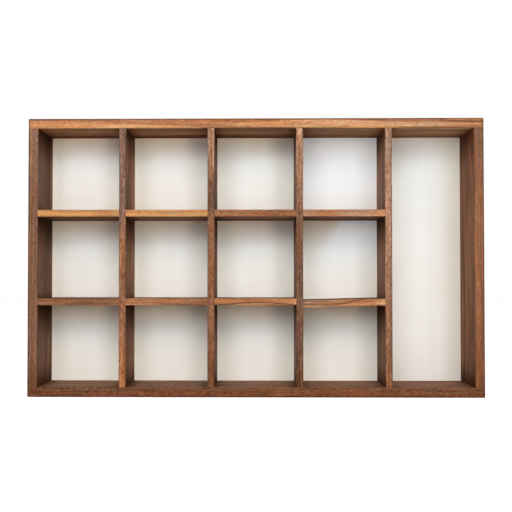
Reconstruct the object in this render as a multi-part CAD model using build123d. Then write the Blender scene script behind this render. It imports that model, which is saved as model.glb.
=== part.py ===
from build123d import *
import math
import os

# A case of open compartments, joined as a small cabinet is. Two rails run the full width, and two
# stiles stand between them on dowels. Upright dividers are housed in the rails, short shelves are
# housed between the dividers, and a white-faced panel lies in a recess at the back, held by brads.
# Millimetres. X runs to the right as seen from the open front, Y from the front edges to the back,
# Z up. The origin is the middle of the underside, so the case stands on its bottom rail.

# Compartments
cell_width = 76.0
cell_height = 76.1
column_count = 5
row_count = 3
open_columns = 1  # at the right, with no shelves; the other columns have one between each two rows

# Boards
frame_thickness = 9.0
partition_thickness = 6.4
inner_depth = 65.0  # from the front edges to the white face of the panel
outer_rounding = 1.0
arris = 0.4  # the small flat planed on the edges round each opening

# Back panel and the recess it lies in
panel_thickness = 4.0
panel_setback = 1.0  # how far the panel lies inside the back of the frame
recess_margin = 4.5  # how far the recess reaches into the frame past the opening
panel_fit = 0.4

# Housings: grooves that stop short of the front edge, so that none shows there
divider_housing = 3.0
shelf_housing = 1.6
housing_stop = 6.0
housing_fit = 0.1

# Corner dowels
dowel_diameter = 5.0
dowel_cover = 3.0  # the wood left over the end of a dowel's hole in a rail
dowel_in_stile = 18.0
dowels_per_corner = 3
dowel_margin = 12.5  # from the front edge to the first dowel, and from the last one to the panel
dowel_fit = 0.05
dowel_end_gap = 0.4
dowel_chamfer = 0.6

# Brads that hold the panel
brad_diameter = 1.2
brad_length = 15.0
brad_head_diameter = 2.4
brad_head_height = 0.5
brad_point = 1.5
brad_fit = 0.03

# The lowest shelf of the last shelved column was glued in out of level: its left end sits low
crooked_drop = 2.0

overcut = 1.0  # how far a cut runs on past an open face

# Sizes and places that follow. Columns are counted from the left, rows and shelf levels from the top
shelved_columns = column_count - open_columns
crooked_shelf = (shelved_columns, row_count - 1)
dowel_in_rail = frame_thickness - dowel_cover
dowel_pitch = (inner_depth - 2 * dowel_margin) / (dowels_per_corner - 1)
opening_width = column_count * cell_width + (column_count - 1) * partition_thickness
opening_height = row_count * cell_height + (row_count - 1) * partition_thickness
case_width = opening_width + 2 * frame_thickness
case_height = opening_height + 2 * frame_thickness
case_depth = inner_depth + panel_thickness + panel_setback

right = case_width / 2
left = -right
front = -case_depth / 2
back = case_depth / 2
panel_face = front + inner_depth
panel_back = panel_face + panel_thickness
opening_left = left + frame_thickness
opening_right = right - frame_thickness
opening_bottom = frame_thickness
opening_top = case_height - frame_thickness
column_pitch = cell_width + partition_thickness
row_pitch = cell_height + partition_thickness


def block(x_range, y_range, z_range):
    """A square block between two X, two Y and two Z values."""
    low = Vector(x_range[0], y_range[0], z_range[0])
    high = Vector(x_range[1], y_range[1], z_range[1])
    size = high - low
    return Pos(*((low + high) / 2)) * Box(size.X, size.Y, size.Z)


def grown(span, by):
    """A pair of values moved apart by the same amount at each end."""
    return (span[0] - by, span[1] + by)


def cell_left(column):
    """The left side of a column."""
    return opening_left + (column - 1) * column_pitch


def cell_middle(column):
    return cell_left(column) + cell_width / 2


def row_middle(row):
    """The mid height of a row."""
    return opening_top - (row - 1) * row_pitch - cell_height / 2


def divider_span(number):
    """The two faces of an upright divider, which stands to the right of the column of that number."""
    face = cell_left(number) + cell_width
    return (face, face + partition_thickness)


def shelf_middle(level):
    """The height of a shelf's middle plane at its right end."""
    return opening_top - level * row_pitch + partition_thickness / 2


def planed_edge(start, end):
    """A square bar turned on its corner, which planes a small flat along the edge from start to end."""
    path = Line(start, end)
    side = arris * math.sqrt(2)
    return sweep(Plane(path @ 0, z_dir=path % 0) * Rectangle(side, side, rotation=45), path)


def rounded(board, x_faces, z_faces):
    """Rounds the board's edges that are outer edges of the whole case, between its outer faces."""
    def on(value, places):
        return any(abs(value - place) < 1e-6 for place in places)

    edges = []
    for edge in board.edges():
        middle = edge.center()
        outer = (on(middle.X, x_faces), on(middle.Y, (front, back)), on(middle.Z, z_faces))
        if sum(outer) == 2:
            edges.append(edge)
    return fillet(edges, min(outer_rounding, frame_thickness / 3))


def panel_recess():
    """The space that the back panel lies in, open at the back."""
    return block(
        grown((opening_left, opening_right), recess_margin),
        (panel_face, back + overcut),
        grown((opening_bottom, opening_top), recess_margin),
    )


def divider_seat(number):
    """The pair of grooves, as one block, that a divider's ends stand in."""
    return block(
        grown(divider_span(number), housing_fit),
        (front + housing_stop - housing_fit, panel_face),
        grown((opening_bottom, opening_top), divider_housing + housing_fit),
    )


def shelf_drop(column, level):
    """How much lower than its right end a shelf's left end sits."""
    return crooked_drop if (column, level) == crooked_shelf else 0.0


def shelf_blank(column, level, fit=0.0):
    """A board through a shelf's place, at its real slope, longer and deeper than the shelf."""
    drop = shelf_drop(column, level)
    slope = -math.degrees(math.atan2(drop, cell_width))
    place = Pos(cell_middle(column), 0, shelf_middle(level) - drop / 2) * Rot(0, slope, 0)
    length = cell_width + 2 * partition_thickness
    return place * Box(length, 2 * case_depth, partition_thickness + 2 * fit)


def shelf_room(column, past_cell, y_range):
    """The part of a column that a shelf or its groove may fill."""
    sides = grown((cell_left(column), cell_left(column) + cell_width), past_cell)
    return block(sides, y_range, (opening_bottom, opening_top))


def shelf_seat(column, level):
    """The pair of grooves, as one block, that a shelf's ends lie in."""
    room = shelf_room(column, shelf_housing + housing_fit, (front + housing_stop - housing_fit, panel_face))
    return shelf_blank(column, level, housing_fit) & room


def dowel_places(side):
    """X and Y of the dowels at the left (-1) or right (+1) corners."""
    x = side * (right - frame_thickness / 2)
    return [(x, front + dowel_margin + i * dowel_pitch) for i in range(dowels_per_corner)]


def dowel_holes(side, joint_height, rail_side):
    """The holes of one corner, bored both ways from the joint. The rail lies above (+1) or below (-1)."""
    radius = dowel_diameter / 2 + dowel_fit
    depth = dowel_in_rail + dowel_in_stile
    middle = joint_height + rail_side * (dowel_in_rail - dowel_in_stile) / 2
    return [Pos(x, y, middle) * Cylinder(radius, depth) for x, y in dowel_places(side)]


def corner_dowels(side, joint_height, rail_side):
    """The fluted pegs of one corner, as plain pins with chamfered ends."""
    length = dowel_in_rail + dowel_in_stile - 2 * dowel_end_gap
    pin = Cylinder(dowel_diameter / 2, length)
    pin = chamfer(pin.edges().filter_by(GeomType.CIRCLE), dowel_chamfer)
    middle = joint_height + rail_side * (dowel_in_rail - dowel_in_stile) / 2
    return [Pos(x, y, middle) * pin for x, y in dowel_places(side)]


def brad_places():
    """X and Z of each brad: one to each compartment's side on the frame, and one to each divider in each row."""
    margin = recess_margin / 2
    columns = [cell_middle(c) for c in range(1, column_count + 1)]
    rows = [row_middle(r) for r in range(1, row_count + 1)]
    on_rails = [(x, z) for z in (opening_top + margin, opening_bottom - margin) for x in columns]
    on_stiles = [(x, z) for x in (opening_left - margin, opening_right + margin) for z in rows]
    uprights = [sum(divider_span(n)) / 2 for n in range(1, column_count)]
    return on_rails + on_stiles + [(x, z) for x in uprights for z in rows]


def pin_to_front(x, y_start, z, radius, length):
    """A round pin that starts at y_start and runs towards the front."""
    return Pos(x, y_start - length / 2, z) * Rot(90, 0, 0) * Cylinder(radius, length)


def brad(x, z):
    """A brad driven from the back: a flat head on the panel and a shank with a blunt point."""
    radius = brad_diameter / 2
    head = pin_to_front(x, panel_back + brad_head_height, z, brad_head_diameter / 2, brad_head_height)
    shank = pin_to_front(x, panel_back, z, radius, brad_length - brad_point)
    point_middle = panel_back - brad_length + brad_point / 2
    point = Pos(x, point_middle, z) * Rot(90, 0, 0) * Cone(radius, radius / 3, brad_point)
    return head + shank + point


def brad_holes():
    """The holes that the brads make in the panel and in what lies in front of it."""
    start = back + overcut
    end = panel_back - brad_length - brad_fit
    radius = brad_diameter / 2 + brad_fit
    return [pin_to_front(x, start, z, radius, start - end) for x, z in brad_places()]


def make_rail(is_top):
    """A full-width board. Its ends show end grain at the sides of the case."""
    inner, outer = (opening_top, case_height) if is_top else (opening_bottom, 0.0)
    rail_side = 1 if is_top else -1
    rail = block((left, right), (front, back), (min(inner, outer), max(inner, outer)))
    rail = rounded(rail, (left, right), (outer,))
    rail -= planed_edge((opening_left, front, inner), (opening_right, front, inner))
    rail -= panel_recess()
    rail -= [divider_seat(n) for n in range(1, column_count)]
    rail -= dowel_holes(-1, inner, rail_side) + dowel_holes(1, inner, rail_side)
    return rail - brad_holes()


def make_stile(side):
    """An upright end board between the two rails."""
    inner, outer = (opening_left, left) if side < 0 else (opening_right, right)
    stile = block((min(inner, outer), max(inner, outer)), (front, back), (opening_bottom, opening_top))
    stile = rounded(stile, (outer,), ())
    stile -= planed_edge((inner, front, opening_bottom), (inner, front, opening_top))
    stile -= panel_recess()
    stile -= dowel_holes(side, opening_top, 1) + dowel_holes(side, opening_bottom, -1)
    if side < 0 or shelved_columns == column_count:
        column = 1 if side < 0 else column_count
        stile -= [shelf_seat(column, level) for level in range(1, row_count)]
    return stile - brad_holes()


def make_divider(number):
    """An upright board. Its ends are notched at the front, where the grooves in the rails stop."""
    span = divider_span(number)
    ends = grown((opening_bottom, opening_top), divider_housing)
    divider = block(span, (front, panel_face), (opening_bottom, opening_top))
    divider += block(span, (front + housing_stop, panel_face), ends)
    divider -= [planed_edge((x, front, opening_bottom), (x, front, opening_top)) for x in span]
    beside = [column for column in (number, number + 1) if column <= shelved_columns]
    divider -= [shelf_seat(column, level) for column in beside for level in range(1, row_count)]
    return divider - brad_holes()


def make_shelf(column, level):
    """A short board across one column, notched at the front like the dividers."""
    blank = shelf_blank(column, level)
    shelf = blank & shelf_room(column, 0.0, (front, panel_face))
    shelf += blank & shelf_room(column, shelf_housing, (front + housing_stop, panel_face))
    drop = shelf_drop(column, level)
    half_height = partition_thickness / 2 * math.hypot(1, drop / cell_width)
    for face in (-half_height, half_height):
        right_end = shelf_middle(level) + face
        start = (cell_left(column), front, right_end - drop)
        end = (cell_left(column) + cell_width, front, right_end)
        shelf -= planed_edge(start, end)
    return shelf


def make_panel():
    """The white-faced board that closes the back."""
    panel = block(
        grown((opening_left, opening_right), recess_margin - panel_fit),
        (panel_face, panel_back),
        grown((opening_bottom, opening_top), recess_margin - panel_fit),
    )
    return panel - brad_holes()


parts = {
    "top_rail": make_rail(True),
    "bottom_rail": make_rail(False),
    "left_stile": make_stile(-1),
    "right_stile": make_stile(1),
    "back_panel": make_panel(),
    "panel_brads": Compound([brad(x, z) for x, z in brad_places()]),
    "dowels_top_left": Compound(corner_dowels(-1, opening_top, 1)),
    "dowels_top_right": Compound(corner_dowels(1, opening_top, 1)),
    "dowels_bottom_left": Compound(corner_dowels(-1, opening_bottom, -1)),
    "dowels_bottom_right": Compound(corner_dowels(1, opening_bottom, -1)),
}
for number in range(1, column_count):
    parts[f"divider_{number}"] = make_divider(number)
for column in range(1, shelved_columns + 1):
    for level in range(1, row_count):
        parts[f"shelf_column_{column}_level_{level}"] = make_shelf(column, level)

os.makedirs("parts", exist_ok=True)
for name, shape in parts.items():
    export_step(shape, f"parts/{name}.step")
    print(name, [round(value, 2) for value in shape.bounding_box().size])
print("case", round(case_width, 1), round(case_depth, 1), round(case_height, 1))
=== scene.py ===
import math

import bpy
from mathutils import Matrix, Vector


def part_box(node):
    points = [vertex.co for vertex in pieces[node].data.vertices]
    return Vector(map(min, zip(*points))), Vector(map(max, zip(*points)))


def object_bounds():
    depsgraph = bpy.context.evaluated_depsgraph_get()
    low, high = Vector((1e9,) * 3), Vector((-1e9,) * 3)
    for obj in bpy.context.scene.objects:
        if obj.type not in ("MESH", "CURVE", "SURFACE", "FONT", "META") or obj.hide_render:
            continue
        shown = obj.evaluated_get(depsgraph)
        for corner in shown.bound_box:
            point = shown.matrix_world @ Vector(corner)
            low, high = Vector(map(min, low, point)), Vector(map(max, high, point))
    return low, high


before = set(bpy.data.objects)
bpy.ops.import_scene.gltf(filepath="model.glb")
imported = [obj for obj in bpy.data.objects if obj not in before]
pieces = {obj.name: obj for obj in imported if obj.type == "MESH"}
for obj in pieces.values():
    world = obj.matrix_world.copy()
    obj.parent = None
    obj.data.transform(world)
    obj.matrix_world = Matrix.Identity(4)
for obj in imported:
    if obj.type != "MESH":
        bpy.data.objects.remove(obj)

cad_low, cad_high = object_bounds()

# The camera stands a little below the middle of the case and looks at its open front, as one
# would photograph it on a table. So the undersides of the upper boards show, and the tops of the
# lower ones.
camera_data = bpy.data.cameras.new("camera")
camera_data.sensor_width = 36.0
camera_data.lens = 68.2
camera_data.shift_x = 0.0255
camera = bpy.data.objects.new("camera", camera_data)
camera.location = (0.0033, -0.9344, 0.1079)
looking = Vector((-0.01638, 0.99954, 0.02549))
camera.rotation_euler = looking.to_track_quat("-Z", "Y").to_euler()
bpy.context.scene.collection.objects.link(camera)
bpy.context.scene.camera = camera

# The rails are two planed walnut boards that lie over and under the stiles, with softened edges
# and an oil finish. The top one was cut near the sapwood, so its front edge is honey-coloured,
# with a wedge of brown heartwood and a darker vein in it.
to_mm = 1000.0
panel_depth = (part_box("back_panel")[0][1] - cad_low[1]) * to_mm

# Tones of oiled walnut, from the sapwood's to the heartwood's
straw = (0.47, 0.245, 0.105)
sand = (0.435, 0.237, 0.13)
gold = (0.41, 0.19, 0.082)
amber = (0.35, 0.16, 0.075)
fawn = (0.31, 0.168, 0.104)
rust = (0.31, 0.137, 0.068)
copper = (0.29, 0.123, 0.055)
cinnamon = (0.268, 0.113, 0.053)
tan = (0.23, 0.105, 0.057)
russet = (0.155, 0.06, 0.028)
sienna = (0.13, 0.046, 0.019)
umber = (0.118, 0.05, 0.026)


def new_finish(name):
    """An empty material, with its node tree and its shader."""
    finish = bpy.data.materials.new(name)
    finish.use_nodes = True
    return finish, finish.node_tree, finish.node_tree.nodes["Principled BSDF"]


def put(tree, kind, inputs=(), **settings):
    """Adds a node. Each input is a constant, or another node's output that is wired to it."""
    node = tree.nodes.new("ShaderNode" + kind)
    for key, value in settings.items():
        setattr(node, key, value)
    for socket, value in dict(inputs).items():
        if isinstance(value, bpy.types.NodeSocket):
            tree.links.new(value, node.inputs[socket])
        else:
            node.inputs[socket].default_value = value
    return node


def calc(tree, operation, *values):
    """Arithmetic with numbers."""
    return put(tree, "Math", enumerate(values), operation=operation).outputs[0]


def times(tree, *values):
    """All the values multiplied."""
    product = values[0]
    for value in values[1:]:
        product = calc(tree, "MULTIPLY", product, value)
    return product


def one_plus(tree, value, most):
    """One, and this much more where the value is one."""
    return calc(tree, "MULTIPLY_ADD", value, most, 1.0)


def vector_calc(tree, operation, *values):
    """Arithmetic with places or colours."""
    return put(tree, "VectorMath", enumerate(values), operation=operation).outputs[0]


def share_between(tree, value, low, high):
    """How far a value has come from low to high, as 0 to 1."""
    ends = {"From Min": low, "From Max": high}
    return put(tree, "MapRange", {"Value": value, **ends}).outputs[0]


def fade(tree, value, start, end, from_value=0.0, to_value=1.0):
    """A smooth change from one value to another while the input goes from start to end."""
    ends = {"From Min": start, "From Max": end, "To Min": from_value, "To Max": to_value}
    change = put(tree, "MapRange", {"Value": value, **ends}, interpolation_type="SMOOTHSTEP")
    return change.outputs[0]


def blend(tree, share, first, second, blend_type="MIX"):
    """Two colours mixed. A plain colour is given as three numbers."""
    colours = [c if isinstance(c, bpy.types.NodeSocket) else (*c, 1.0) for c in (first, second)]
    inputs = {0: share, 6: colours[0], 7: colours[1]}
    return put(tree, "Mix", inputs, data_type="RGBA", blend_type=blend_type).outputs[2]


def tinted(tree, colour, tint):
    """A colour multiplied by a tint."""
    return blend(tree, 1.0, colour, tint, "MULTIPLY")


def noise(tree, place, stretch, detail=2.0, roughness=0.5, output=0):
    """Cloudy values about 0.5, as long in each direction as stretch says, in millimetres."""
    scaled = vector_calc(tree, "DIVIDE", place, stretch)
    inputs = {"Vector": scaled, "Scale": 1.0, "Detail": detail, "Roughness": roughness}
    return put(tree, "TexNoise", inputs).outputs[output]


def tone_ramp(tree, place, tones, interpolation="EASE"):
    """Colours that follow each other. Each has its place from 0 to 1."""
    ramp = put(tree, "ValToRGB", {"Fac": place})
    ramp.color_ramp.interpolation = interpolation
    elements = ramp.color_ramp.elements
    for element, (position, colour) in zip(elements, (tones[0], tones[-1])):
        element.position = position
        element.color = (*colour, 1.0)
    for position, colour in tones[1:-1]:
        elements.new(position).color = (*colour, 1.0)
    return ramp.outputs["Color"]


def height_curve(tree, place, points):
    """A smooth line along the board's edge, as a height from 0 to 1 for each place from 0 to 1."""
    curve = put(tree, "FloatCurve", {"Value": place})
    line = curve.mapping.curves[0]
    line.points[0].location, line.points[-1].location = points[0], points[-1]
    for point in points[1:-1]:
        line.points.new(*point)
    curve.mapping.update()
    return curve.outputs[0]


def in_log(tree, place, upright, pith, seed):
    """Where a point of the board lay in its log, in millimetres, gently bent as real trees are:
    along and across the trunk, then along it and out from the pith, then only out from the pith."""
    quarter_turn = math.pi / 2 if upright else 0.0
    next_log = 700.0
    bend_length = (150.0, 40.0, 40.0)
    most_bend = (0.0, 9.0, 9.0)
    trunk = put(tree, "Mapping", {
        "Vector": place,
        "Location": (seed * next_log, *pith),
        "Rotation": (0.0, quarter_turn, 0.0),
        "Scale": (to_mm, to_mm, to_mm),
    }).outputs[0]
    sway = noise(tree, trunk, bend_length, output="Color")
    sway = vector_calc(tree, "SUBTRACT", sway, (0.5, 0.5, 0.5))
    sway = vector_calc(tree, "MULTIPLY", sway, most_bend)
    trunk = vector_calc(tree, "ADD", trunk, sway)
    along_trunk = put(tree, "SeparateXYZ", {0: trunk}).outputs["X"]
    across_trunk = vector_calc(tree, "MULTIPLY", trunk, (0.0, 1.0, 1.0))
    radius = put(tree, "VectorMath", {0: across_trunk}, operation="LENGTH").outputs["Value"]
    rings = put(tree, "CombineXYZ", {0: along_trunk, 1: radius}).outputs[0]
    return trunk, rings, radius


def late_wood(tree, radius):
    """Year rings: each darkens slowly outwards and ends in a thin late line."""
    ring_width = 3.4
    uneven_length, most_uneven = 13.0, 3.0
    place = {"W": calc(tree, "DIVIDE", radius, uneven_length), "Scale": 1.0}
    uneven = put(tree, "TexNoise", place, noise_dimensions="1D").outputs[0]
    year = calc(tree, "DIVIDE", radius, ring_width)
    year = calc(tree, "FRACT", calc(tree, "ADD", year, times(tree, uneven, most_uneven)))
    return times(tree, fade(tree, year, 0.35, 0.93), fade(tree, year, 0.94, 1.0, 1.0, 0.0))


def figured_edge(tree, along, across, streaks, edge_tones, figures):
    """A board's front edge: tones that follow each other along it, and figures over them."""
    wander, raggedness, softness = 0.16, 0.14, 0.06
    line_core, line_end = 0.05, 0.15
    place = calc(tree, "MULTIPLY_ADD", streaks, wander, calc(tree, "SUBTRACT", along, wander / 2))
    edge = tone_ramp(tree, place, edge_tones)
    for outline, side, tone, cover in figures:
        above = calc(tree, "SUBTRACT", across, height_curve(tree, along, outline))
        ragged = calc(tree, "SUBTRACT", streaks, 0.5)
        above = calc(tree, "MULTIPLY_ADD", ragged, raggedness, above)
        if side == "above":
            shown = fade(tree, above, 0.0, softness, 0.0, cover)
        elif side == "below":
            shown = fade(tree, above, -softness, 0.0, cover, 0.0)
        else:
            off_line = calc(tree, "ABSOLUTE", above)
            shown = fade(tree, off_line, line_core, line_end, cover, 0.0)
        edge = blend(tree, shown, edge, tone)
    return edge


def walnut(name, upright, edge_tones, face_tones, pith, seed, turn=0.0, mottle=1.0,
           figures=(), meets=(), dim=0.82, drift=0.0):
    """Oiled walnut on one board, which is grown in a log of its own.

    edge_tones: the tones along its front edge, each with its place from 0 to 1
    face_tones: the two tones of the rest of it
    pith: where the log's middle lies, in millimetres: how far in front of the case's middle, and
        how far below its foot or, for an upright board, to the right of its middle
    seed: which log it is
    turn: how much the short flecks are tilted
    mottle: how strongly the flecks show on the front edge
    figures: parts of the front edge that have another tone, each with its outline, whether it lies
        above, below or on that, its tone, and how far the tone covers
    meets: the boards that stand against this one, beside which its corners get painted shade
    dim: how dark the painted shade makes an upright board just below the top rail
    drift: how much more of the second face tone there is at the board's right or upper end
    """
    finish, tree, shader = new_finish(name + "_walnut")
    low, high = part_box(name)
    long_axis, thick_axis = ("Z", "X") if upright else ("X", "Z")
    long_i, thick_i = "XYZ".index(long_axis), "XYZ".index(thick_axis)
    place = put(tree, "TexCoord").outputs["Object"]
    axes = put(tree, "SeparateXYZ", {0: place}).outputs
    along = share_between(tree, axes[long_axis], low[long_i], high[long_i])
    across = share_between(tree, axes[thick_axis], low[thick_i], high[thick_i])
    behind = times(tree, calc(tree, "SUBTRACT", axes["Y"], cad_low[1]), to_mm)

    # Pigment, warmth and long fine lines run with the rings. Streaks, a change of hue, short
    # flecks, fibres and the dark dashes of cut pores run with the trunk.
    trunk, rings, radius = in_log(tree, place, upright, pith, seed)
    late = late_wood(tree, radius)
    pigment = noise(tree, rings, (330.0, 5.0, 1.0), 3.0, 0.6)
    warmth = noise(tree, rings, (90.0, 2.6, 1.0), 2.0, 0.6)
    lines = noise(tree, rings, (240.0, 1.5, 1.0), 3.0, 0.6)
    streaks = noise(tree, trunk, (34.0, 1.3, 1.3), 3.0, 0.6)
    hue = noise(tree, trunk, (24.0, 1.7, 1.7), 2.0, 0.6, output="Color")
    tilted = put(tree, "VectorRotate", {"Vector": trunk, "Angle": turn}, rotation_type="Y_AXIS")
    flecks = noise(tree, tilted.outputs[0], (3.6, 0.6, 0.6), 2.0, 0.65)
    fibres = noise(tree, trunk, (14.0, 0.35, 0.35), 2.0, 0.6)
    pores = fade(tree, noise(tree, trunk, (3.6, 0.28, 0.28), 1.0), 0.58, 0.68)

    # The front edge's tones end a few millimetres behind it, along an uneven line
    edge_unevenness = 8.0
    at_edge = calc(tree, "MULTIPLY_ADD", pigment, edge_unevenness, behind)
    at_edge = fade(tree, at_edge, 6.0, 8.0, 1.0, 0.0)
    edge = figured_edge(tree, along, across, streaks, edge_tones, figures)
    drifted = calc(tree, "ADD", pigment, times(tree, calc(tree, "SUBTRACT", along, 0.5), drift))
    faces = blend(tree, fade(tree, drifted, 0.36, 0.64), *face_tones)
    colour = blend(tree, at_edge, faces, edge)
    cool, warm = (0.97, 1.0, 1.02), (1.06, 0.99, 0.92)
    colour = tinted(tree, colour, blend(tree, fade(tree, warmth, 0.38, 0.62), cool, warm))
    grey, red = (0.93, 1.03, 1.08), (1.08, 0.97, 0.86)
    colour = tinted(tree, colour, blend(tree, fade(tree, hue, 0.36, 0.64), grey, red))

    # The flecks show on the front edge above all, and the wide faces have long fine lines
    strength = calc(tree, "MULTIPLY_ADD", at_edge, mottle - 0.5, 0.5)
    darkest, lightest = (one_plus(tree, strength, most) for most in (-0.24, 0.2))
    off_edge = calc(tree, "SUBTRACT", 1.0, at_edge)
    lined = times(tree, off_edge, fade(tree, lines, 0.34, 0.66, -0.2, 0.17))
    broad = times(
        tree,
        fade(tree, streaks, 0.34, 0.66, darkest, lightest),
        calc(tree, "ADD", lined, 1.0),
        fade(tree, pigment, 0.34, 0.66, 0.86, 1.12),
        calc(tree, "MULTIPLY_ADD", late, -0.2, 1.04),
    )
    darkest, lightest = (one_plus(tree, strength, most) for most in (-0.45, 0.4))
    shade = times(
        tree,
        fade(tree, flecks, 0.35, 0.65, darkest, lightest),
        fade(tree, fibres, 0.25, 0.75, 0.84, 1.14),
        calc(tree, "MULTIPLY_ADD", pores, -0.42, 1.04),
    )

    # Painted shade darkens the softened outer arrises of the front
    arris_width = 2.2
    middle, half = (cad_low + cad_high) / 2.0, (cad_high - cad_low) / 2.0
    from_middle = vector_calc(tree, "ABSOLUTE", vector_calc(tree, "SUBTRACT", place, middle))
    inwards = put(tree, "SeparateXYZ", {0: vector_calc(tree, "SUBTRACT", half, from_middle)})
    inwards = calc(tree, "MINIMUM", inwards.outputs["X"], inwards.outputs["Z"])
    rim_shade = fade(tree, times(tree, inwards, to_mm), 0.4, arris_width, 1.0, 0.0)
    rim_shade = times(tree, rim_shade, fade(tree, behind, 0.8, arris_width, 1.0, 0.0))
    shade = times(tree, shade, one_plus(tree, rim_shade, -0.55))

    # Painted shade dims each board along the panel, and its underside from further off
    underside_reach, panel_reach = 40.0, 4.0
    facing = put(tree, "SeparateXYZ", {0: put(tree, "NewGeometry").outputs["Normal"]}).outputs
    looks_down = fade(tree, facing["Z"], -0.5, -0.9)
    underside_shade = fade(tree, behind, panel_depth - underside_reach, panel_depth, 0.0, 0.65)
    underside_shade = times(tree, looks_down, underside_shade)
    panel_shade = fade(tree, behind, panel_depth - panel_reach, panel_depth, 1.0, 0.72)
    shade = times(tree, shade, calc(tree, "SUBTRACT", 1.0, underside_shade), panel_shade)

    # Painted shade dims the corners too, beside each board that stands against this one. Each pair
    #     # here is how far that reaches from the other board, in metres, and how dark it is right
    #     beside it.
    under_rail, under_shelf = (0.038, dim), (0.038, 0.86)
    on_rail, on_shelf = (0.023, 0.78), (0.006, 0.5)
    beside_upright = (0.011, 0.45)
    a_hair = 0.001
    in_cells = calc(tree, "LESS_THAN", behind, panel_depth + 0.5)
    in_cells = times(tree, fade(tree, behind, 0.5, 2.5), in_cells)
    for other in meets:
        other_low, other_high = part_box(other)
        side = in_cells
        if other_low[thick_i] > low[thick_i] - a_hair:
            side = times(tree, side, calc(tree, "GREATER_THAN", across, 0.5))
        if other_high[thick_i] < high[thick_i] + a_hair:
            side = times(tree, side, calc(tree, "LESS_THAN", across, 0.5))
        before = calc(tree, "SUBTRACT", other_low[long_i], axes[long_axis])
        after = calc(tree, "SUBTRACT", axes[long_axis], other_high[long_i])
        if upright:
            before_it = under_rail if other == "top_rail" else under_shelf
            after_it = on_rail if other == "bottom_rail" else on_shelf
        else:
            before_it = after_it = beside_upright
        for gap, (reach, depth) in ((before, before_it), (after, after_it)):
            outside = calc(tree, "GREATER_THAN", gap, -a_hair / 2)
            corner_shade = times(tree, side, fade(tree, gap, 0.0, reach, depth, 0.0), outside)
            shade = times(tree, shade, calc(tree, "SUBTRACT", 1.0, corner_shade))

    # Cut ends drink more oil and are darker. Whatever is darker is redder too, as oiled walnut is.
    end_grain = fade(tree, calc(tree, "ABSOLUTE", facing[long_axis]), 0.6, 0.9)
    broad = times(tree, broad, one_plus(tree, end_grain, -0.42))
    powers = (0.75, 1.0, 1.3)
    darkening = [times(tree, broad, calc(tree, "POWER", shade, power)) for power in powers]
    colour = tinted(tree, colour, put(tree, "CombineColor", enumerate(darkening)).outputs[0])
    tree.links.new(colour, shader.inputs["Base Color"])

    # The fibres are a little rougher and raised, and the pores are rough and sunk
    rough = calc(tree, "MULTIPLY_ADD", fibres, 0.16, 0.44)
    rough = calc(tree, "ADD", rough, times(tree, pores, 0.18))
    tree.links.new(rough, shader.inputs["Roughness"])
    relief = calc(tree, "SUBTRACT", times(tree, fibres, 0.35), pores)
    bump = put(tree, "Bump", {"Height": relief, "Strength": 0.5, "Distance": 0.00008})
    tree.links.new(bump.outputs[0], shader.inputs["Normal"])
    shader.inputs["Specular IOR Level"].default_value = 0.01
    return finish


def dress(name, finish):
    """Gives a piece its finish."""
    piece = pieces[name]
    piece.data.materials.clear()
    piece.data.materials.append(finish)


top_edge = ((0.0, amber), (0.1, gold), (0.3, amber), (0.5, gold), (0.7, sand), (0.86, sand),
            (1.0, amber))
bottom_edge = ((0.0, umber), (0.45, umber), (0.6, russet), (0.7, russet), (0.85, umber),
               (1.0, umber))
brown_wedge = ((0.0, 0.78), (0.06, 0.74), (0.13, 0.6), (0.21, 0.46), (0.29, 0.33), (0.37, 0.2),
               (0.44, 0.3), (0.48, 0.7), (0.56, 1.0), (1.0, 1.0))
wedge_vein = ((0.0, 0.94), (0.05, 0.86), (0.13, 0.74), (0.21, 0.61), (0.29, 0.48), (0.37, 0.36),
              (0.45, 0.18), (0.52, 0.03), (0.6, 0.0), (1.0, 0.0))
red_rim = ((0.0, 1.0), (0.36, 1.0), (0.42, 0.66), (0.5, 0.58), (0.58, 0.86), (0.66, 1.0),
           (1.0, 1.0))
red_foot = ((0.0, 0.0), (0.36, 0.0), (0.4, 0.14), (0.46, 0.18), (0.52, 0.06), (0.56, 0.0),
            (1.0, 0.0))
# A painted highlight, in a pale sapwood tone, along the lower arris of the top rail's front edge
lip_highlight = ((0.0, 0.0), (0.14, 0.05), (0.2, 0.4), (0.29, 0.27), (0.36, 0.16), (0.4, 0.0),
              (0.56, 0.0), (0.6, 0.26), (0.78, 0.28), (0.84, 0.1), (0.88, 0.0), (1.0, 0.0))
brown_foot = ((0.0, 0.0), (0.8, 0.0), (0.87, 0.14), (0.94, 0.2), (1.0, 0.24))
red_vein = ((0.0, 1.0), (0.62, 1.0), (0.72, 0.9), (0.82, 0.7), (0.9, 0.68), (1.0, 0.6))
dark_vein = ((0.0, 1.0), (0.88, 1.0), (0.93, 0.7), (1.0, 0.6))
red_heart = ((0.0, 0.5), (0.2, 0.55), (0.45, 0.68), (0.7, 0.6), (1.0, 0.5))
uprights = ["left_stile", "divider_1", "divider_2", "divider_3", "divider_4", "right_stile"]
dress("top_rail", walnut(
    "top_rail", False, top_edge, (copper, sand),
    pith=(38.0, -64.0), seed=1.3, mottle=0.6, meets=uprights, drift=0.24,
    figures=[
        (brown_wedge, "above", rust, 0.92),
        (red_rim, "above", copper, 0.85),
        (wedge_vein, "on", tan, 0.8),
        (red_foot, "below", cinnamon, 0.85),
        # the painted highlight along the lower arris
        (lip_highlight, "below", straw, 0.9),
        (brown_foot, "below", cinnamon, 0.7),
        (red_vein, "above", cinnamon, 0.5),
        (red_vein, "on", russet, 0.75),
        (dark_vein, "on", umber, 0.6),
    ],
))
dress("bottom_rail", walnut(
    "bottom_rail", False, bottom_edge, (tan, fawn),
    pith=(-46.0, 40.0), seed=2.7, turn=0.06, meets=uprights,
    figures=[(red_heart, "below", sienna, 0.75)],
))

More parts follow.
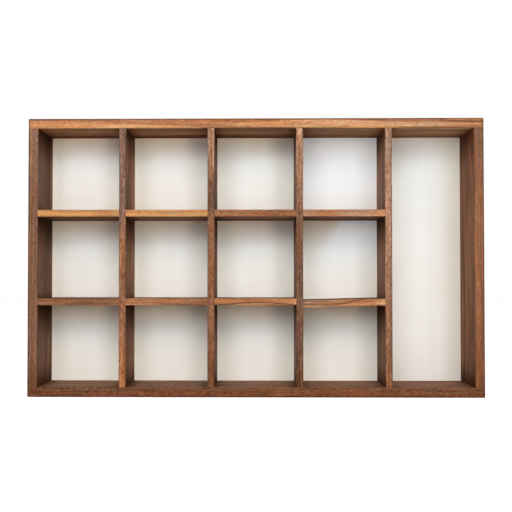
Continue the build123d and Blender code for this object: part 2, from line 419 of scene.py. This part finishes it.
# The stiles are two more walnut boards. They stand between the rails, butted to them, and are
# pegged with blind dowels, so no joint shows but the line where the grain turns.
chestnut = (0.19, 0.082, 0.042)
plum = (0.20, 0.106, 0.07)
cocoa = (0.155, 0.077, 0.048)
rails = ["top_rail", "bottom_rail"]
shelves = {
    column: [f"shelf_column_{column}_level_{level}" for level in (1, 2)]
    for column in (1, 2, 3, 4)
}
dress("left_stile", walnut(
    "left_stile", True, ((0.0, umber), (0.15, cocoa), (0.7, cocoa), (1.0, plum)), (cocoa, plum),
    pith=(30.0, 52.0), seed=3.1, mottle=0.65, meets=[*rails, *shelves[1]],
))
dress("right_stile", walnut(
    "right_stile", True, ((0.0, russet), (0.25, chestnut), (0.7, chestnut), (1.0, cocoa)),
    (cocoa, tan), pith=(36.0, -48.0), seed=4.6, mottle=0.6, meets=rails, dim=0.6,
))

# The dividers are thin upright walnut boards, unbroken from rail to rail. Their ends stand in
# grooves that stop short of the front, and their front edges are flush with the frame.
mauve = (0.165, 0.092, 0.07)
rose = (0.265, 0.15, 0.1)
divider_looks = {
    1: dict(
        edge_tones=((0.0, copper), (0.12, copper), (0.3, tan), (0.52, tan), (0.7, mauve),
                    (1.0, mauve)),
        face_tones=(tan, fawn), pith=(28.0, 60.0), mottle=1.25,
    ),
    2: dict(
        edge_tones=((0.0, russet), (0.25, tan), (0.45, chestnut), (0.6, tan), (0.75, cocoa),
                    (0.88, fawn), (1.0, fawn)),
        face_tones=(umber, plum), pith=(44.0, -38.0), mottle=1.2,
    ),
    3: dict(
        edge_tones=((0.0, umber), (0.3, cocoa), (0.6, cocoa), (1.0, fawn)),
        face_tones=(cocoa, rose), pith=(33.0, 47.0), mottle=1.3,
    ),
    4: dict(
        edge_tones=((0.0, chestnut), (0.25, tan), (0.5, rose), (1.0, rose)),
        face_tones=(fawn, cocoa), pith=(52.0, -36.0), mottle=1.1, dim=0.78, drift=-0.2,
    ),
}
for number, looks in divider_looks.items():
    name = f"divider_{number}"
    meets = [*rails, *shelves[number], *shelves.get(number + 1, ())]
    finish = walnut(name, True, seed=5.0 + 1.7 * number, turn=0.07, meets=meets, **looks)
    dress(name, finish)

# The shelves are short walnut boards between the uprights, let into grooves in them. They were cut
# from different planks, so their colours change at every divider, and the two upper ones on the
# left are the palest.
honey = (0.405, 0.205, 0.086)
arch = ((0.0, 0.0), (0.15, 0.1), (0.35, 0.36), (0.6, 0.42), (0.85, 0.2), (1.0, 0.0))
rising = ((0.0, 0.36), (0.2, 0.3), (0.38, 0.34), (0.52, 0.5), (0.68, 0.86), (0.78, 1.0),
          (1.0, 1.0))
lower_edge = ((0.0, 0.26), (0.3, 0.18), (0.5, 0.0), (1.0, 0.0))
shelf_looks = {
    (1, 1): dict(
        edge_tones=((0.0, honey), (0.6, honey), (0.8, amber), (1.0, honey)),
        face_tones=(tan, amber), mottle=0.35,
    ),
    (2, 1): dict(
        edge_tones=((0.0, gold), (0.35, honey), (1.0, honey)),
        face_tones=(tan, amber), mottle=0.5,
    ),
    (3, 1): dict(
        edge_tones=((0.0, tan), (0.75, chestnut), (1.0, chestnut)),
        face_tones=(umber, tan), mottle=0.8,
    ),
    (4, 1): dict(
        edge_tones=((0.0, fawn), (0.3, copper), (0.65, fawn), (1.0, amber)),
        face_tones=(cocoa, tan), mottle=0.5,
    ),
    (1, 2): dict(
        edge_tones=((0.0, tan), (0.45, chestnut), (1.0, tan)),
        face_tones=(umber, tan), mottle=0.9,
    ),
    (2, 2): dict(
        edge_tones=((0.0, rust), (0.45, rust), (0.8, tan), (1.0, tan)),
        face_tones=(umber, tan), mottle=0.8,
    ),
    (3, 2): dict(
        edge_tones=((0.0, copper), (0.5, copper), (0.8, copper), (1.0, amber)),
        face_tones=(umber, tan), mottle=0.6,
        figures=[(arch, "below", honey, 0.8), (arch, "on", umber, 0.95)],
    ),
    (4, 2): dict(
        edge_tones=((0.0, fawn), (0.75, amber), (1.0, sand)),
        face_tones=(umber, tan), mottle=0.7,
        figures=[(rising, "on", umber, 0.7), (lower_edge, "below", honey, 0.8)],
    ),
}
for (column, level), looks in shelf_looks.items():
    name = shelves[column][level - 1]
    pith = (30.0 + 4.0 * column, 45.0 - 9.0 * level)
    seed = 13.0 + 1.9 * column + 8.3 * level
    meets = uprights[column - 1:column + 1]
    finish = walnut(name, False, pith=pith, seed=seed, meets=meets, **looks)
    dress(name, finish)

# The back is a hard fibre panel, painted matt white in front. Painted light and shade lie in its
# colour: dark and warm under the boards, greyer toward their right walls, and lighter in the upper
# half of the fourth column. The panel is bare and brown behind, with the print of the screen it was
# pressed on.
finish, tree, shader = new_finish("painted_panel")


def place_in_mm(tree):
    """Where a point of the piece is, in millimetres."""
    place = put(tree, "TexCoord").outputs["Object"]
    return vector_calc(tree, "MULTIPLY", place, (to_mm, to_mm, to_mm))


# Where a point of the panel lies in its cell, and how far down the case
panel_low, panel_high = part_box("back_panel")
panel_axes = put(tree, "SeparateXYZ", {0: put(tree, "TexCoord").outputs["Object"]}).outputs
panel_place = place_in_mm(tree)
roof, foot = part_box("top_rail")[0][2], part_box("bottom_rail")[1][2]
column_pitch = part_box("divider_2")[0][0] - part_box("divider_1")[0][0]
row_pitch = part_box("shelf_column_1_level_1")[0][2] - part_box("shelf_column_1_level_2")[0][2]
half_shelf = 0.003
first_shelf = row_pitch - half_shelf
second_shelf = 2.0 * row_pitch - half_shelf
middle_of_cell = 0.46
below = calc(tree, "SUBTRACT", roof, panel_axes["Z"])
down_cell = calc(tree, "FRACT", calc(tree, "DIVIDE", below, row_pitch))
down_column = calc(tree, "DIVIDE", below, roof - foot)
across_cell = calc(tree, "SUBTRACT", panel_axes["X"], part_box("left_stile")[1][0])
across_cell = calc(tree, "FRACT", calc(tree, "DIVIDE", across_cell, column_pitch))
in_grid = calc(tree, "LESS_THAN", panel_axes["X"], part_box("divider_4")[1][0])
past_grid = calc(tree, "SUBTRACT", 1.0, in_grid)

# The paint with its painted shade, dark and warm under the board above each cell and lighter
# further down, in the cells and down the long column
shaded_cell_paint = tone_ramp(tree, down_cell, (
    (0.0, (0.92, 0.725, 0.55)), (0.08, (0.77, 0.683, 0.56)), (0.17, (0.78, 0.727, 0.65)),
    (0.29, (0.82, 0.828, 0.795)), (0.55, (0.87, 0.863, 0.824)), (0.9, (0.94, 0.915, 0.862)),
), "CARDINAL")
shaded_column_paint = tone_ramp(tree, down_column, (
    (0.0, (0.92, 0.83, 0.73)), (0.045, (0.80, 0.79, 0.75)), (0.14, (0.77, 0.795, 0.78)),
    (0.45, (0.83, 0.825, 0.80)), (1.0, (0.88, 0.87, 0.83)),
), "CARDINAL")
paint = blend(tree, in_grid, shaded_column_paint, shaded_cell_paint)
clouds = fade(tree, noise(tree, panel_place, (60.0, 60.0, 60.0), 3.0), 0.35, 0.65)
dull, clean = (0.985, 0.983, 0.975), (1.012, 1.015, 1.02)
paint = tinted(tree, paint, blend(tree, clouds, dull, clean))

# Painted shade and light on each side of a cell, above all in the corners under the boards:
# # darker toward the walls and in the upper right corners, lighter on the left, beside the fourth
# # divider and under the lower shelves
aside = calc(tree, "ABSOLUTE", calc(tree, "SUBTRACT", across_cell, middle_of_cell))
aside = fade(tree, aside, 0.1, 0.36)
by_left = times(tree, in_grid, fade(tree, across_cell, 0.0, 0.1, 1.0, 0.0))
by_right = fade(tree, across_cell, 0.6, 0.8)
by_fourth_divider = times(tree, past_grid, fade(tree, across_cell, 0.0, 0.16, 1.0, 0.0))
under_roof = times(tree, in_grid, fade(tree, down_cell, 0.06, 0.3, 1.0, 0.0))
roof_left = times(tree, under_roof, fade(tree, across_cell, 0.1, 0.5, 1.0, 0.0))
roof_right = times(tree, under_roof, fade(tree, across_cell, 0.55, 0.78))
roof_low = times(tree, under_roof, calc(tree, "GREATER_THAN", below, second_shelf))
no_tint = (1.0, 1.0, 1.0)
for share, tint in (
    (aside, (0.975, 0.965, 0.93)),
    (by_right, (0.95, 0.96, 0.96)),
    (roof_left, (1.1, 1.12, 1.12)),
    (roof_right, (0.74, 0.72, 0.79)),
    (roof_low, (1.16, 1.12, 1.09)),
    (by_left, (1.13, 1.08, 1.04)),
    (by_fourth_divider, (1.1, 1.11, 1.1)),
):
    paint = tinted(tree, paint, blend(tree, share, no_tint, tint))

# A painted patch of light, with less painted shade: all of the fourth column's first cell, and its
# second to the right of a slope
lit_patch_paint = tone_ramp(tree, down_cell, (
    (0.0, (0.98, 0.98, 0.98)), (0.13, (0.96, 0.98, 0.98)), (0.3, (0.86, 0.895, 0.91)),
    (0.6, (0.895, 0.925, 0.935)), (0.85, (0.945, 0.95, 0.95)),
), "CARDINAL")
past_third = calc(tree, "GREATER_THAN", panel_axes["X"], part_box("divider_3")[0][0])
in_fourth = times(tree, in_grid, past_third)
lit_first_cell = calc(tree, "LESS_THAN", below, first_shelf)
lit_first_cell = times(tree, lit_first_cell, fade(tree, down_cell, 0.55, 0.9, 1.0, 0.5))
slope = calc(tree, "MULTIPLY_ADD", down_cell, 0.6, across_cell)
lit_second_cell = times(
    tree,
    fade(tree, slope, 0.37, 0.57),
    fade(tree, down_cell, 0.15, 0.7, 1.0, 0.0),
    calc(tree, "LESS_THAN", below, second_shelf),
)
lit_patch = times(tree, in_fourth, calc(tree, "MAXIMUM", lit_first_cell, lit_second_cell))
paint = blend(tree, lit_patch, paint, lit_patch_paint)
whitest = (0.98, 0.98, 0.98)
paint = vector_calc(tree, "MINIMUM", paint, whitest)

# Painted warm shade along the foot and at the right end, by the bottom rail and the right stile
warm_shade_tone = (0.80, 0.71, 0.57)
by_foot = fade(tree, panel_axes["Z"], 0.009, 0.1, 0.15, 0.0)
by_end = fade(tree, panel_axes["X"], panel_high[0] - 0.04, panel_high[0], 0.0, 0.4)
paint = blend(tree, calc(tree, "MAXIMUM", by_foot, by_end), paint, warm_shade_tone)

# The bare back, and the relief of the paint roller in front and of the screen behind
paint_thickness = 0.0003
screen_pitch = 1.3
pulp = fade(tree, noise(tree, panel_place, (2.2, 2.2, 2.2), 4.0, 0.65), 0.3, 0.7)
fibre_board = blend(tree, pulp, (0.16, 0.085, 0.045), (0.28, 0.165, 0.095))
is_bare = calc(tree, "GREATER_THAN", panel_axes["Y"], panel_low[1] + paint_thickness)
tree.links.new(blend(tree, is_bare, paint, fibre_board), shader.inputs["Base Color"])
roller = noise(tree, panel_place, (0.9, 0.9, 0.9), 2.0)
screen = vector_calc(tree, "MULTIPLY", panel_place, (2 * math.pi / screen_pitch,) * 3)
screen = put(tree, "SeparateXYZ", {0: screen}).outputs
weave = times(tree, calc(tree, "SINE", screen["X"]), calc(tree, "SINE", screen["Z"]))
relief = calc(tree, "ADD", times(tree, weave, times(tree, is_bare, 0.5)), roller)
bump = put(tree, "Bump", {"Height": relief, "Strength": 0.4, "Distance": 0.0001})
tree.links.new(bump.outputs[0], shader.inputs["Normal"])
shader.inputs["Roughness"].default_value = 0.75
shader.inputs["Specular IOR Level"].default_value = 0.25
dress("back_panel", finish)

# Steel brads hold the panel in its recess and to the dividers. They are plain wire, with flat
# heads that were struck with a punch, and dulled a little with age.
finish, tree, shader = new_finish("brad_wire")
scuffs = noise(tree, place_in_mm(tree), (0.5, 0.5, 0.5), 3.0)
steel = blend(tree, scuffs, (0.36, 0.34, 0.32), (0.62, 0.61, 0.59))
tree.links.new(steel, shader.inputs["Base Color"])
tree.links.new(fade(tree, scuffs, 0.3, 0.7, 0.32, 0.55), shader.inputs["Roughness"])
shader.inputs["Metallic"].default_value = 1.0
dress("panel_brads", finish)

# Three round beech dowels peg each corner, in holes bored in the stile and the rail. They lie
# wholly inside the boards.
finish, tree, shader = new_finish("beech")
flecks = noise(tree, place_in_mm(tree), (0.3, 0.3, 4.0), 2.0)
beech = blend(tree, flecks, (0.48, 0.31, 0.18), (0.64, 0.46, 0.30))
tree.links.new(beech, shader.inputs["Base Color"])
shader.inputs["Roughness"].default_value = 0.6
for corner in ("top_left", "top_right", "bottom_left", "bottom_right"):
    dress("dowels_" + corner, finish)

# The studio is a white floor that runs off into a white room. Their white is for the camera and
# for reflections. What lights the case is soft lamps, three in front of it and one behind.
bpy.ops.object.select_all(action="DESELECT")
bpy.ops.mesh.primitive_plane_add(size=12.0, location=(0.0, 0.0, 0.0))
floor = bpy.context.object
floor.name = "floor"


def when_seen(tree):
    """One for what the camera, a reflection or glass sees, and zero for the light on the case."""
    rays = put(tree, "LightPath").outputs
    seen = calc(tree, "MAXIMUM", rays["Is Camera Ray"], rays["Is Glossy Ray"])
    return calc(tree, "MAXIMUM", seen, rays["Is Transmission Ray"])


paper, tree, shader = new_finish("floor_paper")
shader.inputs["Base Color"].default_value = (0.8, 0.8, 0.8, 1.0)
shader.inputs["Roughness"].default_value = 0.9
shader.inputs["Specular IOR Level"].default_value = 0.1
glow = put(tree, "Emission", {"Color": (1.0, 1.0, 1.0, 1.0), "Strength": 1.15}).outputs[0]
most_glow = 0.85
glowing = times(tree, when_seen(tree), most_glow)
mixed = put(tree, "MixShader", {0: glowing, 1: shader.outputs[0], 2: glow})
tree.links.new(mixed.outputs[0], tree.nodes["Material Output"].inputs["Surface"])
floor.data.materials.append(paper)

world = bpy.data.worlds.new("room")
bpy.context.scene.world = world
world.use_nodes = True
tree = world.node_tree
backdrop = put(tree, "Background", {"Color": (1.0, 1.0, 1.0, 1.0), "Strength": 1.0})
room_light = put(tree, "Background", {"Color": (1.0, 0.99, 0.97, 1.0), "Strength": 0.06})
walls = {0: when_seen(tree), 1: room_light.outputs[0], 2: backdrop.outputs[0]}
mixed = put(tree, "MixShader", walls)
tree.links.new(mixed.outputs[0], tree.nodes["World Output"].inputs["Surface"])


def soft_lamp(name, place, size, power):
    """A rectangular soft box that faces the middle of the case."""
    lamp_data = bpy.data.lights.new(name, "AREA")
    lamp_data.shape = "RECTANGLE"
    lamp_data.size, lamp_data.size_y = size
    lamp_data.energy = power
    lamp = bpy.data.objects.new(name, lamp_data)
    lamp.location = place
    middle_of_case = Vector((0.0, 0.0, 0.13))
    facing = middle_of_case - Vector(place)
    lamp.rotation_euler = facing.to_track_quat("-Z", "Y").to_euler()
    bpy.context.scene.collection.objects.link(lamp)


soft_lamp("middle_lamp", (0.0, -1.2, 0.37), (1.1, 0.6), 11.8)
soft_lamp("left_lamp", (-1.05, -1.2, 0.85), (0.5, 0.4), 10.5)
soft_lamp("right_lamp", (0.8, -1.2, 0.82), (1.1, 0.4), 9.5)
soft_lamp("rear_lamp", (0.3, 1.3, 0.8), (1.1, 0.6), 14.0)

bpy.context.scene.view_settings.view_transform = "Standard"
